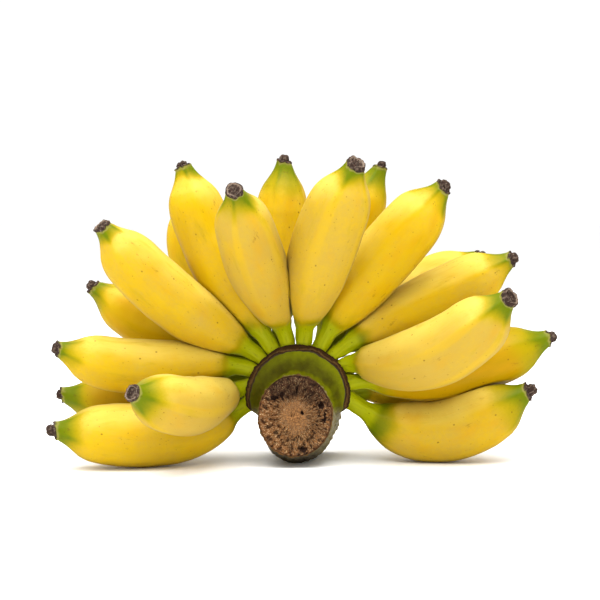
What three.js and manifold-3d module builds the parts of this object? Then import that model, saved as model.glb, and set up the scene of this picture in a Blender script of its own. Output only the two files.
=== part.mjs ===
// A hand of small yellow bananas, cut from its bunch. A short piece of the bunch stalk lies on the surface
// and points at the viewer. A cushion-like crown swells from its upper side, with the brown scar of the
// fallen bract as a rim along its front. Two rows of fruit, called fingers, grow out of the crown as a
// fan: the front row from just behind the scar, the back row behind it and between its stalks.
//
// Millimetres, +X to the right, +Y away from the viewer, +Z up. The origin is on the surface that the hand
// rests on, in the flat spot under the stalk.
import * as THREE from "three";
import { mergeVertices } from "three/addons/utils/BufferGeometryUtils.js";
import Module from "manifold-3d";

const wasm = await Module();
wasm.setup();

const GAP = 0.3; // left between a finger and the crown it grows from
const SIDES_OF_STALK = 44;
const SIDES_OF_FINGER = 15; // three to each of its five faces

// The stalk: an oval rod, its sections given front to back as [y, centre x, centre z, half width, half
// height].
const STALK = [
  [-28, -2.6, 28.0, 19.8, 21.9],
  [-14, -1.2, 25.2, 20.5, 22.9],
  [-5, -0.3, 23.3, 21.0, 23.7],
  [20, 1.8, 23.1, 21.0, 23.5],
  [36, 3.2, 23.6, 20.0, 22.4],
];
const CUT = { dished: 1, flatShare: 0.9, roundedEdge: 0.8 }; // its two cut ends

// The crown's outer edge follows a circle above the stalk's own centre. Its two ends sink into the stalk
// between these levels, in degrees above the stalk's middle.
const CROWN = { x: -1.1, z: 35.5, radius: 27.6, endsSink: [2, 15] };

// How far the crown has grown out of the stalk to its circle, as [y, share], front to back. The narrow band
// past its circle is the scar of the bract.
const SWELLING = [
  [-21, 0],
  [-16, 0.12],
  [-12, 0.5],
  [-9.5, 0.93],
  [-8, 1.05],
  [-6.5, 1.05],
  [-5.5, 0.97],
  [0, 1.0],
  [9, 1.0],
  [15, 0.95],
  [20, 0.62],
  [25, 0.18],
  [30, 0],
];

// The y at which each row of fingers leaves the crown.
const ROW = { front: -1, back: 10.5 };
const ROOT_DEPTH = 1.5; // how far inside the crown's circle a finger's centre line starts
const STALK_PULL = 22; // how strongly a finger keeps to its first direction
const TIP_PULL = 20; // and to its last

// A finger's radius from end to end: near its stalk as [mm from the root, mm], along its belly as [share
// of its length, share of half its girth], and near its tip as [mm from the collar, share of half its
// girth]. The collar is where the dried knob of the flower begins, whose outline is [share of its length,
// share of half the finger's girth].
const STALK_END = [
  [0, 4.9],
  [5, 4.4],
  [11, 4.7],
  [16, 6.4],
  [21, 9.2],
];
const BELLY = [
  [0.3, 0.82],
  [0.42, 0.96],
  [0.56, 1.0],
  [0.7, 0.97],
];
const TIP_END = [
  [25, 0.94],
  [19, 0.87],
  [14, 0.74],
  [9.5, 0.55],
  [6, 0.41],
  [3, 0.325],
  [0.3, 0.285],
];
const KNOB = [
  [0.1, 0.2],
  [0.8, 0.15],
];
const RIDGES = { count: 5, height: 0.025, start: [12, 30] }; // share of the radius, and mm from the root

// Where fingers press on each other: the mm left between them, the largest share of its radius that one gives
// way, the round bodies that each is measured by, and the steps in which it gives way.
const PRESS = { gap: 0.8, most: 0.6, beads: 24, steps: 8 };

// Every finger: degrees round the crown from +X, the middle of its belly, its tip, its girth, the length
// of its knob where that isn't the usual one (where it is short, the knob is a flat scar), and the turn of
// its ridges. Its stalk leaves square to the crown's edge unless "leaves" gives another direction in
// degrees, and "neck" is under 1 where the stalk is shorter than the others'.
const USUAL_KNOB = 3.2;
const FINGERS = {
  front: [
    {
      around: 186, leaves: 212, neck: 0.82, knob: 4.5,
      belly: [-68.5, -16, 16.9], tip: [-132.5, -34, 21.5], girth: 34,
    },
    {
      around: 168, leaves: 190, neck: 0.8, knob: 1.5, turn: 20,
      belly: [-57, -43, 35.2], tip: [-83, -86, 46.5], girth: 31,
    },
    { around: 149, belly: [-82, -12, 52.7], tip: [-130, -28, 64], girth: 30, knob: 2.4, turn: 10 },
    { around: 134, belly: [-65.6, -14, 87.2], tip: [-104, -30, 128.6], girth: 32, knob: 1.2 },
    { around: 118, belly: [-44.8, 2, 110], tip: [-64, -2, 162], girth: 32, knob: 2.6, turn: 30 },
    { around: 101, belly: [-22, -29, 106], tip: [-33, -68, 146.5], girth: 32, knob: 0.9 },
    { around: 84, belly: [10.4, -28, 110.2], tip: [28.6, -65, 160.2], girth: 35, knob: 1.5 },
    { around: 66, belly: [40.4, -4, 105.2], tip: [78, -20, 151], girth: 33.5 },
    { around: 50, belly: [66.3, 8, 83.5], tip: [117, -4, 111.5], girth: 31, knob: 3.4 },
    {
      around: 32, leaves: 21, neck: 0.88, knob: 1.8,
      belly: [67.3, -28, 59.3], tip: [107.2, -58, 92.6], girth: 35,
    },
    { around: 15, belly: [82, 2, 49.5], tip: [139.5, 6, 68], girth: 32, knob: 3.5 },
    {
      around: -2, leaves: -29, knob: 4.8,
      belly: [73.3, -1, 16.2], tip: [127, -8, 41], girth: 35,
    },
  ],
  back: [
    { around: 160, belly: [-80, 18, 32], tip: [-134, 14, 35], girth: 30, knob: 2.5 },
    { around: 142, belly: [-73, 18, 70.5], tip: [-118, 14, 96], girth: 30 },
    { around: 122, belly: [-54.5, 34, 100], tip: [-61.5, 36, 149], girth: 29 },
    { around: 106, belly: [-11.2, 18, 111], tip: [-8.4, 18, 166.5], girth: 30 },
    { around: 64, belly: [25, 24, 112], tip: [46, 26, 163], girth: 28 },
    { around: 50, belly: [61, 36, 90.5], tip: [109.5, 38, 111], girth: 29 },
    { around: 28, belly: [68, 36, 64], tip: [107, 39, 66], girth: 28 },
    {
      around: 2, leaves: -4,
      belly: [69, 33, 37], tip: [106, 36, 26], girth: 28,
    },
  ],
};

const COLOUR = { skin: 0xf2c531, stalk: 0x8a7a3a };

// A value read from a list of [place, value] pairs, straight between them.
function along(pairs, place) {
  const last = pairs.length - 1;
  if (place <= pairs[0][0]) return pairs[0][1];
  if (place >= pairs[last][0]) return pairs[last][1];
  const i = pairs.findIndex(([p]) => p > place) - 1;
  const [p0, v0] = pairs[i];
  const [p1, v1] = pairs[i + 1];
  return THREE.MathUtils.lerp(v0, v1, (place - p0) / (p1 - p0));
}

// The stalk's section at y, each value read between the sections listed above.
function stalkAt(y) {
  const value = (column) => along(STALK.map((row) => [row[0], row[column]]), y);
  return { x: value(1), z: value(2), halfWidth: value(3), halfHeight: value(4) };
}

// How far the stalk and its crown reach from the stalk's centre line, in a direction given as an angle
// from +X.
function reachOfCrown(angle, y, extra) {
  const at = stalkAt(y);
  const [c, s] = [Math.cos(angle), Math.sin(angle)];
  const rod = 1 / Math.hypot(c / at.halfWidth, s / at.halfHeight);
  const toward = c * (CROWN.x - at.x) + s * (CROWN.z - at.z);
  const across = s * (CROWN.x - at.x) - c * (CROWN.z - at.z);
  const edge = toward + Math.sqrt(CROWN.radius ** 2 - across ** 2);
  const level = THREE.MathUtils.radToDeg(Math.asin(s));
  const grown = along(SWELLING, y) * THREE.MathUtils.smoothstep(level, ...CROWN.endsSink);
  return rod + Math.max(edge - rod, 0) * grown + extra;
}

// A closed solid from a geometry whose surface is closed.
function toSolid(geometry) {
  const bare = geometry.clone();
  bare.deleteAttribute("normal");
  bare.deleteAttribute("uv");
  const merged = mergeVertices(bare, 1e-4);
  const mesh = new wasm.Mesh({
    numProp: 3,
    vertProperties: new Float32Array(merged.attributes.position.array),
    triVerts: new Uint32Array(merged.index.array),
  });
  return new wasm.Manifold(mesh);
}

function toGeometry(solid) {
  const mesh = solid.getMesh();
  const geometry = new THREE.BufferGeometry();
  geometry.setAttribute("position", new THREE.BufferAttribute(mesh.vertProperties, 3));
  geometry.setIndex(new THREE.BufferAttribute(mesh.triVerts, 1));
  geometry.computeVertexNormals();
  return geometry;
}

// Moves every vertex of a lathe-turned blank, given its angle, its radius and its height on the lathe.
function reshape(blank, move) {
  const position = blank.attributes.position;
  for (let i = 0; i < position.count; i++) {
    const [x, h, z] = [position.getX(i), position.getY(i), position.getZ(i)];
    const to = move(Math.atan2(x, z), Math.hypot(x, z), h);
    position.setXYZ(i, to.x, to.y, to.z);
  }
  return blank;
}

// The stalk and crown, turned as a rod of radius 1 and then drawn out to its reach at every angle.
function crownGeometry(extra) {
  const [front, back] = [STALK[0][0], STALK.at(-1)[0]];
  const profile = [
    [0, front + CUT.dished],
    [CUT.flatShare, front],
    [1, front + CUT.roundedEdge],
    ...SWELLING.map(([y]) => [1, y]),
    [1, back - CUT.roundedEdge],
    [CUT.flatShare, back],
    [0, back - CUT.dished],
  ];
  const blank = new THREE.LatheGeometry(profile.map((pair) => new THREE.Vector2(...pair)), SIDES_OF_STALK);
  return reshape(blank, (turned, share, y) => {
    const at = stalkAt(y);
    const angle = Math.PI / 2 - turned;
    const reach = share * reachOfCrown(angle, y, extra);
    return new THREE.Vector3(at.x + reach * Math.cos(angle), y, at.z + reach * Math.sin(angle));
  });
}

// A direction across the hand, from degrees round the crown.
function direction(degrees) {
  const angle = THREE.MathUtils.degToRad(degrees);
  return new THREE.Vector3(Math.cos(angle), 0, Math.sin(angle));
}

// A finger's centre line: a Bezier curve of the fourth degree. It leaves the crown in the finger's first
// direction, ends at the tip in the direction from the belly to the tip, and is at the belly half way along,
// where such a curve is at (root + 4 first + 6 middle + 4 last + tip) / 16.
class CentreLine extends THREE.Curve {
  constructor(finger, rowY) {
    super();
    const { around, leaves = around } = finger;
    const root = new THREE.Vector3(CROWN.x, rowY, CROWN.z);
    root.addScaledVector(direction(around), CROWN.radius - ROOT_DEPTH);
    const belly = new THREE.Vector3(...finger.belly);
    const tip = new THREE.Vector3(...finger.tip);
    const first = root.clone().addScaledVector(direction(leaves), STALK_PULL);
    const last = tip.clone().addScaledVector(tip.clone().sub(belly).normalize(), -TIP_PULL);
    const middle = belly.clone().multiplyScalar(16).sub(root).sub(tip);
    middle.addScaledVector(first, -4).addScaledVector(last, -4).divideScalar(6);
    this.poles = [root, first, middle, last, tip];
  }

  // Points drawn between neighbouring poles, and between those again, until one is left.
  getPoint(share) {
    let points = this.poles;
    while (points.length > 1) {
      points = points.slice(1).map((point, i) => points[i].clone().lerp(point, share));
    }
    return points[0];
  }
}

// The outline of half a finger lying straight: [mm from the root, radius].
function fingerOutline(length, { girth, knob = USUAL_KNOB, neck = 1 }) {
  const collar = length - knob;
  return [
    ...STALK_END.map(([s, r]) => [s * neck, r]),
    ...BELLY.map(([share, r]) => [share * length, (r * girth) / 2]),
    ...TIP_END.map(([s, r]) => [collar - s, (r * girth) / 2]),
    ...KNOB.map(([share, r]) => [collar + share * knob, (r * girth) / 2]),
  ];
}

// Round bodies strung along a finger's centre line, which stand for it where its neighbours press on it.
function beads(finger, rowY) {
  const line = new CentreLine(finger, rowY);
  const outline = fingerOutline(line.getLength(), finger);
  return line.getSpacedPoints(PRESS.beads).map((middle, i) => {
    return { middle, radius: along(outline, (line.getLength() * i) / PRESS.beads) };
  });
}

// Fingers that crowd each other press flat: a point on one is drawn in towards its centre until it is as deep
// inside its own round shape as it is inside the neighbour's.
function pressed(point, centre, neighbours) {
  const inward = centre.clone().sub(point);
  const most = inward.length() * PRESS.most;
  inward.normalize();
  let drawn = 0;
  for (let step = 0; step < PRESS.steps; step++) {
    const at = point.clone().addScaledVector(inward, drawn);
    const inside = Math.max(...neighbours.map(({ middle, radius }) => radius - middle.distanceTo(at)));
    drawn = Math.max(drawn + (inside - drawn + PRESS.gap) / 2, 0);
  }
  return point.addScaledVector(inward, Math.min(drawn, most));
}

// A finger: a turned blank with its outline, ridged, bent along its centre line and pressed by its
// neighbours.
function fingerGeometry(finger, rowY, neighbours) {
  const line = new CentreLine(finger, rowY);
  const length = line.getLength();
  const outline = fingerOutline(length, finger).map(([s, r]) => new THREE.Vector2(r, s));
  const profile = [new THREE.Vector2(0, 0), ...outline, new THREE.Vector2(0, length)];
  const blank = new THREE.LatheGeometry(profile, SIDES_OF_FINGER);
  const roundCrown = direction(finger.around + 90);
  const turn = THREE.MathUtils.degToRad(finger.turn ?? 0);
  return reshape(blank, (phi, radius, s) => {
    const share = THREE.MathUtils.clamp(s / length, 0, 1);
    const centre = line.getPointAt(share);
    if (radius < 1e-6) return centre;
    const ahead = line.getTangentAt(share);
    const side = roundCrown.clone().addScaledVector(ahead, -roundCrown.dot(ahead)).normalize();
    const front = new THREE.Vector3().crossVectors(ahead, side);
    const height = RIDGES.height * THREE.MathUtils.smoothstep(s, ...RIDGES.start);
    const reach = radius * (1 + height * Math.cos(RIDGES.count * phi));
    const point = centre.clone();
    point.addScaledVector(side, reach * Math.cos(phi + turn));
    point.addScaledVector(front, reach * Math.sin(phi + turn));
    return pressed(point, centre, neighbours);
  });
}

// What is left of a finger outside the crown. Scraps of its root on the crown's far side are dropped.
function cutFree(finger, crownAndGap) {
  const pieces = finger.subtract(crownAndGap).decompose();
  return pieces.reduce((largest, piece) => (piece.volume() > largest.volume() ? piece : largest));
}

function meshOf(name, solid, colour, roughness) {
  const material = new THREE.MeshStandardMaterial({ color: colour, roughness, metalness: 0 });
  const mesh = new THREE.Mesh(toGeometry(solid), material);
  mesh.name = name;
  return mesh;
}

const hand = new THREE.Group();
hand.name = "hand_of_bananas";

// Everything that would reach below the surface is pressed flat on it.
const restingOnSurface = (solid) => solid.trimByPlane([0, 0, 1], 0);
hand.add(meshOf("stalk_and_crown", restingOnSurface(toSolid(crownGeometry(0))), COLOUR.stalk, 0.8));

const crownAndGap = toSolid(crownGeometry(GAP));
const numbered = (row) => FINGERS[row].map((finger, i) => ({ row, finger, number: i + 1 }));
const all = Object.keys(ROW).flatMap(numbered);
for (const { row, finger, number } of all) {
  const others = all.filter((other) => other.finger !== finger);
  const neighbours = others.flatMap((other) => beads(other.finger, ROW[other.row]));
  const whole = restingOnSurface(toSolid(fingerGeometry(finger, ROW[row], neighbours)));
  const name = `${row}_finger_${String(number).padStart(2, "0")}`;
  hand.add(meshOf(name, cutFree(whole, crownAndGap), COLOUR.skin, 0.45));
}

export default hand;
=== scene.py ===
"""A hand of small yellow bananas that rests on its cut stalk, as Blender meshes and node materials.

Metres, +X to the right, +Y away from the viewer, +Z up. A cushion-like crown swells from a short piece of
the bunch stalk, and two rows of fruit, called fingers, fan out of it. Every surface is a grid of points
worked out as whole arrays: a finger is a turned outline carried along a curved centre line, and the crown
is a rod drawn out to its reach at every angle.
"""

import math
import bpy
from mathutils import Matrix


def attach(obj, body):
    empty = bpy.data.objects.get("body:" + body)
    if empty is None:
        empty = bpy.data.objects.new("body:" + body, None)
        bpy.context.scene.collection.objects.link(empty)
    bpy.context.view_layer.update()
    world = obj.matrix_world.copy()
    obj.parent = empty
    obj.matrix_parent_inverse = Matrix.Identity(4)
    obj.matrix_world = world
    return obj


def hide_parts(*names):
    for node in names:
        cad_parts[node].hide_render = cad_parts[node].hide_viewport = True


bl_info = {
    "name": "Hand of small yellow bananas",
    "version": (1, 0, 0),
    "blender": (4, 5, 0),
    "location": "3D View > Sidebar > Bananas",
    "description": "Builds a hand of small yellow bananas, its cut stalk and a plain white stage",
    "category": "Add Mesh",
}

from typing import NamedTuple

import bpy
import numpy as np
from bpy.props import FloatProperty, FloatVectorProperty, IntProperty, PointerProperty
from mathutils import Vector
from numpy.linalg import norm

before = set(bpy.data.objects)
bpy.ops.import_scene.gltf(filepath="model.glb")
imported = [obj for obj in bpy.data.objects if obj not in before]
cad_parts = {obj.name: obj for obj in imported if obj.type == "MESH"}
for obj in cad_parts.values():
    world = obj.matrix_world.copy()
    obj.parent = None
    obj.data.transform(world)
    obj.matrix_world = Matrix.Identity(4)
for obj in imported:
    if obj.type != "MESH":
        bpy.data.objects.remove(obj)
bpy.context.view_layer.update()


def seen(red, green, blue):
    """A colour as a screen shows it, each part from 0 to 255, as the light that it stands for."""
    parts = np.array([red, green, blue]) / 255
    return tuple(np.where(parts > 0.04045, ((parts + 0.055) / 1.055) ** 2.4, parts / 12.92))


# Sizes and places

# The stalk: an oval rod, its sections front to back as y, centre x, centre z, half width, half height.
STALK = np.array([
    (-0.028, -0.0026, 0.0280, 0.0198, 0.0219),
    (-0.014, -0.0018, 0.0252, 0.0201, 0.0229),
    (-0.005, -0.0014, 0.0233, 0.0204, 0.0237),
    (0.020, 0.0008, 0.0231, 0.0206, 0.0235),
    (0.036, 0.0032, 0.0236, 0.0200, 0.0224),
])
FRONT, BACK = STALK[0, 0], STALK[-1, 0]

# A cut end's outline: share of the way from its middle to its rim, and how far it lies inside the end.
CUT_OUTLINE = ((0, 0.0010), (0.5, 0.0008), (0.88, 0.0001), (0.93, 0), (0.975, 0.00025), (1, 0.0008))

# The crown's outer edge follows a circle above the stalk's centre. Its ends sink into the stalk between
# these levels, in degrees above the stalk's middle.
CROWN_X, CROWN_Z, CROWN_RADIUS = -0.0011, 0.0355, 0.0276
ENDS_SINK = (2, 15)

# How far the crown has grown out of the stalk to that circle: y and share. The band past it is the bract's
# scar, from this radius out and over the edge to this y.
SWELLING = np.array([
    (-0.021, 0), (-0.016, 0.12), (-0.012, 0.5), (-0.0095, 0.93), (-0.008, 1.05), (-0.0065, 1.05),
    (-0.0055, 0.97), (0, 1), (0.009, 1), (0.015, 0.95), (0.020, 0.62), (0.025, 0.18), (0.030, 0),
])
SCAR_RADIUS, SCAR_BACK = 0.0256, -0.0054

# Where each row of fingers leaves the crown, how deep a finger's centre line starts inside the crown's
# circle, and how strongly it keeps to its first and its last direction.
ROW_Y = {"front": -0.001, "back": 0.0105}
ROOT_DEPTH = 0.0015
STALK_PULL = 0.022
TIP_PULL = 0.020

# A finger's outline. Near its stalk: distance from the root, and radius. Along its belly: share of its
# length, and share of half its girth. Near its tip: distance from the brown collar, and share of half its
# girth. Then what is left of the flower, a knob or a flat scar with a dished end: share of its length, and
# share of half the finger's girth. The knob and the flat scar have the same number of points.
STALK_END = ((0, 0.0056), (0.0045, 0.0045), (0.011, 0.0047), (0.016, 0.0064), (0.021, 0.0092))
BELLY = ((0.3, 0.82), (0.42, 0.96), (0.56, 1.0), (0.7, 0.97))
TIP_END = (
    (0.0250, 0.94), (0.0190, 0.87), (0.0140, 0.74), (0.0095, 0.55), (0.0060, 0.41), (0.0030, 0.325),
    (0.0009, 0.285), (0.0003, 0.29), (0, 0.285),
)
KNOB = (
    (0.06, 0.265), (0.08, 0.235), (0.05, 0.20), (0.12, 0.176), (0.35, 0.182), (0.58, 0.18), (0.78, 0.158),
    (0.91, 0.125), (0.98, 0.09), (1, 0.055), (1, 0.03), (0.99, 0.005),
)
FLAT_SCAR = (
    (0.3, 0.282), (0.75, 0.27), (1, 0.25), (0.95, 0.225), (0.6, 0.205), (0.3, 0.18), (0.25, 0.15),
    (0.4, 0.12), (0.3, 0.09), (0.5, 0.06), (0.35, 0.03), (0.4, 0.005),
)
# A knob shorter than this is a flat scar. The tip's closer rows of points start this far before the collar.
FLAT_BELOW = 0.0019
TIP_STARTS = 0.015

# Points in a finger's centre line, and rows of points along its belly and along its tip.
CURVE_POINTS, BELLY_ROWS, TIP_ROWS = 600, 92, 80

# The beads that stand for a finger: how many, and how far the first and the last lie from its two ends.
BEADS, FIRST_BEAD, LAST_BEAD = 64, 0.001, 0.0012

# How neighbours press: those nearer than this, in so many rounds, and no deeper than this share of the way
# to the centre. Then how soft the floor is to a finger that reaches it.
NEAR, PRESS_ROUNDS, MOST_PRESSED = 0.002, 9, 0.62
FLOOR_SOFTNESS = 0.0003

# Points round the crown, rows across the front and the rear cut end, and rows along its side: from the back
# to the first y, closer over the scar to the second, and on to the front.
CROWN_COLUMNS, FRONT_ROWS, REAR_ROWS = 352, 66, 36
SIDE_ROWS, SCAR_ROWS = (46, 38, 24), (-0.004, -0.0125)

# The scar's soft edge, and the groove in it: how far outside the scar's radius, its half width, its depth,
# and the y it keeps in front of. Then the boss under each finger, and how far torn fibres may stand out.
SCAR_EDGE = 0.0003
GROOVE_OUT, GROOVE_WIDTH, GROOVE_DEPTH, GROOVE_BACK = 0.0014, 0.0006, 0.0006, -0.0085
BOSS_HEIGHT, BOSS_RADIUS = 0.0009, 0.0046
LONGEST_FIBRE = 0.0006


class Finger(NamedTuple):
    """One fruit: its node, the degrees round the crown at which its stalk stands, the middle of its belly,
    its tip and its girth. Then the length of the dried knob, the direction in which its stalk leaves where
    that isn't square to the crown, how short the stalk is, the turn of its ridges in degrees, how far green
    reaches from its root and from its collar, and how much dull bloom its faces have. Less than no bloom
    paints shade into its skin, for a finger that lies in its neighbours' shade."""

    node: str
    around: float
    belly: tuple
    tip: tuple
    girth: float
    knob: float = 0.0032
    leaves: float = None
    neck: float = 1.0
    turn: float = 0.0
    green_root: float = 0.020
    green_tip: float = 0.008
    bloom: float = 0.3

    @property
    def row(self):
        """The row that its node's name starts with, front or back."""
        return self.node.split("_")[0]


FINGERS = (
    Finger("front_finger_01", 186, (-0.0685, -0.016, 0.0171), (-0.1325, -0.034, 0.0215), 0.034,
           knob=0.0045, leaves=212, neck=0.82, green_tip=0.012, bloom=0.4),
    Finger("front_finger_02", 168, (-0.057, -0.043, 0.0352), (-0.083, -0.086, 0.0465), 0.031,
           knob=0.0015, leaves=190, neck=0.8, turn=20, green_tip=0.013, bloom=0.95),
    Finger("front_finger_03", 149, (-0.082, -0.012, 0.0527), (-0.130, -0.028, 0.064), 0.030,
           knob=0.0024, turn=10, green_tip=0.009, bloom=0.4),
    Finger("front_finger_04", 134, (-0.0656, -0.014, 0.0872), (-0.104, -0.030, 0.1286), 0.032,
           knob=0.0012, green_tip=0.006, bloom=0.5),
    Finger("front_finger_05", 118, (-0.0448, 0.002, 0.110), (-0.064, -0.002, 0.162), 0.032,
           knob=0.0026, turn=30, green_tip=0.007),
    Finger("front_finger_06", 101, (-0.022, -0.029, 0.106), (-0.033, -0.068, 0.1465), 0.032,
           knob=0.0009, green_tip=0.009, bloom=0.85),
    Finger("front_finger_07", 84, (0.0104, -0.028, 0.1102), (0.0288, -0.057, 0.1604), 0.035,
           knob=0.0015, bloom=0.7),
    Finger("front_finger_08", 66, (0.0404, -0.004, 0.1052), (0.078, -0.020, 0.151), 0.0335,
           green_tip=0.009),
    Finger("front_finger_09", 49, (0.0663, 0.008, 0.0835), (0.117, -0.004, 0.1115), 0.031,
           knob=0.0034, green_tip=0.009, bloom=0.4),
    Finger("front_finger_10", 38, (0.0673, -0.028, 0.0593), (0.1072, -0.058, 0.0926), 0.035,
           knob=0.0018, leaves=25, neck=0.8, green_tip=0.01, bloom=0.95),
    Finger("front_finger_11", 15, (0.082, 0.002, 0.0495), (0.1395, 0.006, 0.068), 0.032,
           knob=0.0046, green_tip=0.018, bloom=-0.5),
    Finger("front_finger_12", -2, (0.0733, -0.001, 0.0166), (0.127, -0.008, 0.041), 0.035,
           knob=0.0048, leaves=-29, green_root=0.026, green_tip=0.016, bloom=0.6),
    Finger("back_finger_01", 160, (-0.080, 0.018, 0.032), (-0.134, 0.014, 0.035), 0.030,
           knob=0.0025, green_tip=0.014, bloom=-0.5),
    Finger("back_finger_02", 142, (-0.073, 0.018, 0.0705), (-0.1165, 0.014, 0.096), 0.030,
           green_tip=0.01, bloom=-0.1),
    Finger("back_finger_03", 122, (-0.0545, 0.034, 0.100), (-0.0615, 0.036, 0.149), 0.029),
    Finger("back_finger_04", 106, (-0.0112, 0.018, 0.111), (-0.0084, 0.018, 0.1665), 0.030,
           green_tip=0.015),
    Finger("back_finger_05", 64, (0.025, 0.024, 0.112), (0.046, 0.026, 0.163), 0.028,
           green_tip=0.014, bloom=0.0),
    Finger("back_finger_06", 50, (0.061, 0.036, 0.0885), (0.1045, 0.038, 0.1116), 0.029, bloom=0.4),
    Finger("back_finger_07", 28, (0.068, 0.036, 0.064), (0.107, 0.039, 0.066), 0.028),
    Finger("back_finger_08", 2, (0.069, 0.033, 0.037), (0.106, 0.036, 0.026), 0.028,
           leaves=-4, green_root=0.01),
)

# Pits in the front cut: x and z of the middle, half width, half height and depth.
PITS = np.array([
    (0.0009, 0.0295, 0.0012, 0.0012, 0.0022),
    (-0.0046, 0.0282, 0.0005, 0.0011, 0.0008),
    (-0.0135, 0.0375, 0.0030, 0.0016, 0.0018),
    (-0.0095, 0.0385, 0.0016, 0.0022, 0.0016),
    (0.0110, 0.0330, 0.0015, 0.0026, 0.0016),
    (0.0128, 0.0272, 0.0012, 0.0026, 0.0020),
    (-0.0016, 0.0420, 0.0004, 0.0034, 0.0012),
    (0.0020, 0.0100, 0.0026, 0.0018, 0.0012),
])

CAMERA = {"place": (0, -0.9, 0.1348), "tilt": 3, "lens": 100, "sensor": 36, "near": 0.01}

# The soft lights: name, place, width, height and watts. Each faces the middle of the hand. Then how bright
# the white room round it is, and how far the floor reaches and how little it lies below the hand. Fingers
# share one material, found again by its name.
LIGHTS = (
    ("Light above", (-0.05, -0.10, 1.30), 1.3, 1.0, 23.0),
    ("Light left", (-0.95, -0.60, 0.90), 0.9, 0.9, 5.0),
    ("Light right", (0.60, -0.30, 1.10), 0.8, 0.8, 5.0),
    ("Light front", (-0.12, -1.00, 1.50), 1.2, 1.0, 16.0),
)
LIT_MIDDLE = (0, 0, 0.07)
SURROUND = 1.06
FLOOR_REACH, FLOOR_DROP = 20.0, 0.0001
SKIN_NAME = "Banana skin"


class HandShape(bpy.types.PropertyGroup):
    """Sizes of the hand that may be changed."""

    columns: IntProperty(
        name="Points round a finger",
        description="Points in each ring of a finger",
        default=88,
        min=24,
        max=128,
    )
    finger_gap: FloatProperty(
        name="Gap between fingers",
        description="Left between two fingers that press on each other",
        default=0.0004,
        min=0,
        max=0.002,
        unit="LENGTH",
    )
    ridge_height: FloatProperty(
        name="Ridge height",
        description="Height of a finger's five ridges as a share of its radius",
        default=0.034,
        min=0,
        max=0.1,
        subtype="FACTOR",
    )
    fibre_depth: FloatProperty(
        name="Fibre depth",
        description="Depth of the torn fibres on the cut ends",
        default=0.00045,
        min=0,
        max=0.002,
        unit="LENGTH",
    )


def colour(name, description, *parts):
    """A colour setting whose default is given as a screen shows it."""
    return FloatVectorProperty(
        name=name, description=description, default=seen(*parts), size=3, min=0, max=1, subtype="COLOR"
    )


class HandColours(bpy.types.PropertyGroup):
    """Colours of the skin, the crown and the cut ends."""

    ripe: colour("Ripe skin", "Most of a finger's skin", 186, 152, 6)
    pale: colour("Pale skin", "The dull bloom on its flat faces", 164, 136, 52)
    # Painted top light: a paler colour on a finger's upper side that stands for the light falling from above.
    painted_top_light: colour("Frosted skin", "The thicker, paler wax on its upper side", 200, 176, 78)
    deep: colour("Deep skin", "Warmer, riper patches", 180, 132, 0)
    # Painted shade: the deeper colour painted on fingers that lie in their neighbours' shade.
    painted_shade: colour("Inner skin", "Skin that grew in its neighbours' shade", 146, 112, 0)
    lime: colour("Lime skin", "Where yellow turns to green", 150, 130, 0)
    green: colour("Green skin", "Finger stalks, and the crown behind its scar", 144, 148, 4)
    tip_green: colour("Green tip", "Skin next to the dried flower", 88, 100, 0)
    tip_rim: colour("Rim of the skin", "The thin pale rim that meets the dried flower", 130, 122, 62)
    # Painted sheen: the dull khaki that the skin's colour turns to where it is seen side-on.
    sheen: colour("Sheen", "The bloom's dull sheen, seen along the skin", 134, 122, 74)
    dark_green: colour("Dark green", "Fibres in the green skin", 84, 92, 0)
    freckle: colour("Freckles", "Small spots and scuffs, and specks on the crown", 84, 54, 14)
    # Also painted shade on the underside of the stalk.
    dried: colour("Dried flower", "The dark end of a finger", 50, 39, 34)
    dried_pale: colour("Dried flower, pale", "Its worn edges", 130, 113, 98)
    scar_pale: colour("Scar, pale", "The worn strip along the brown rim", 88, 65, 34)
    crown: colour("Crown", "The crown's skin below its scar", 102, 106, 0)
    # Also painted shade in the crown's hollow and towards its left.
    crown_dark_and_shade: colour("Crown, dark", "The hollow of the crown", 50, 46, 0)
    scar: colour("Scar", "The brown rim that the bract left", 48, 30, 8)
    stalk: colour("Stalk side", "The weathered side of the stalk", 128, 115, 82)
    cut: colour("Cut fibre", "The middle of the cut end", 146, 102, 60)
    cut_red: colour("Cut fibre, red", "Reddish bundles towards the rim", 104, 62, 32)
    cut_pale: colour("Cut fibre, pale", "Loose pale fibres", 198, 164, 120)
    # In the pits and the grooves between torn fibres it is painted shade.
    cut_dark: colour("Cut fibre, dark", "Pits and the upper part of the cut end", 40, 24, 16)
    floor: colour("Floor", "The stage", 250, 250, 250)


# Shapes


def smooth_through(places, values, at):
    """A smooth curve through the given points that never passes above or below them: a cubic between each
    two, whose slope at a point is the harmonic mean of the slopes on its two sides, or zero at a turning
    point."""
    places, values = np.asarray(places, float), np.asarray(values, float)
    step = np.diff(places)
    slope = np.diff(values) / step
    rising = slope[:-1] * slope[1:] > 0
    total = np.where(rising, slope[:-1] + slope[1:], 1)
    inner = np.where(rising, 2 * slope[:-1] * slope[1:] / total, 0)
    slopes = np.concatenate([slope[:1], inner, slope[-1:]])
    at = np.clip(at, places[0], places[-1])
    i = np.clip(np.searchsorted(places, at, side="right") - 1, 0, len(step) - 1)
    t = (at - places[i]) / step[i]
    from_left = values[i] * (1 + 2 * t) + step[i] * slopes[i] * t
    from_right = values[i + 1] * (3 - 2 * t) + step[i] * slopes[i + 1] * (t - 1)
    return from_left * (1 - t) ** 2 + from_right * t**2


def ease(value, low, high):
    """0 below low and 1 above high, and between them, at share t of the way, t squared times 3 less 2 t."""
    t = np.clip((value - low) / (high - low), 0, 1)
    return t * t * (3 - 2 * t)


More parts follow.
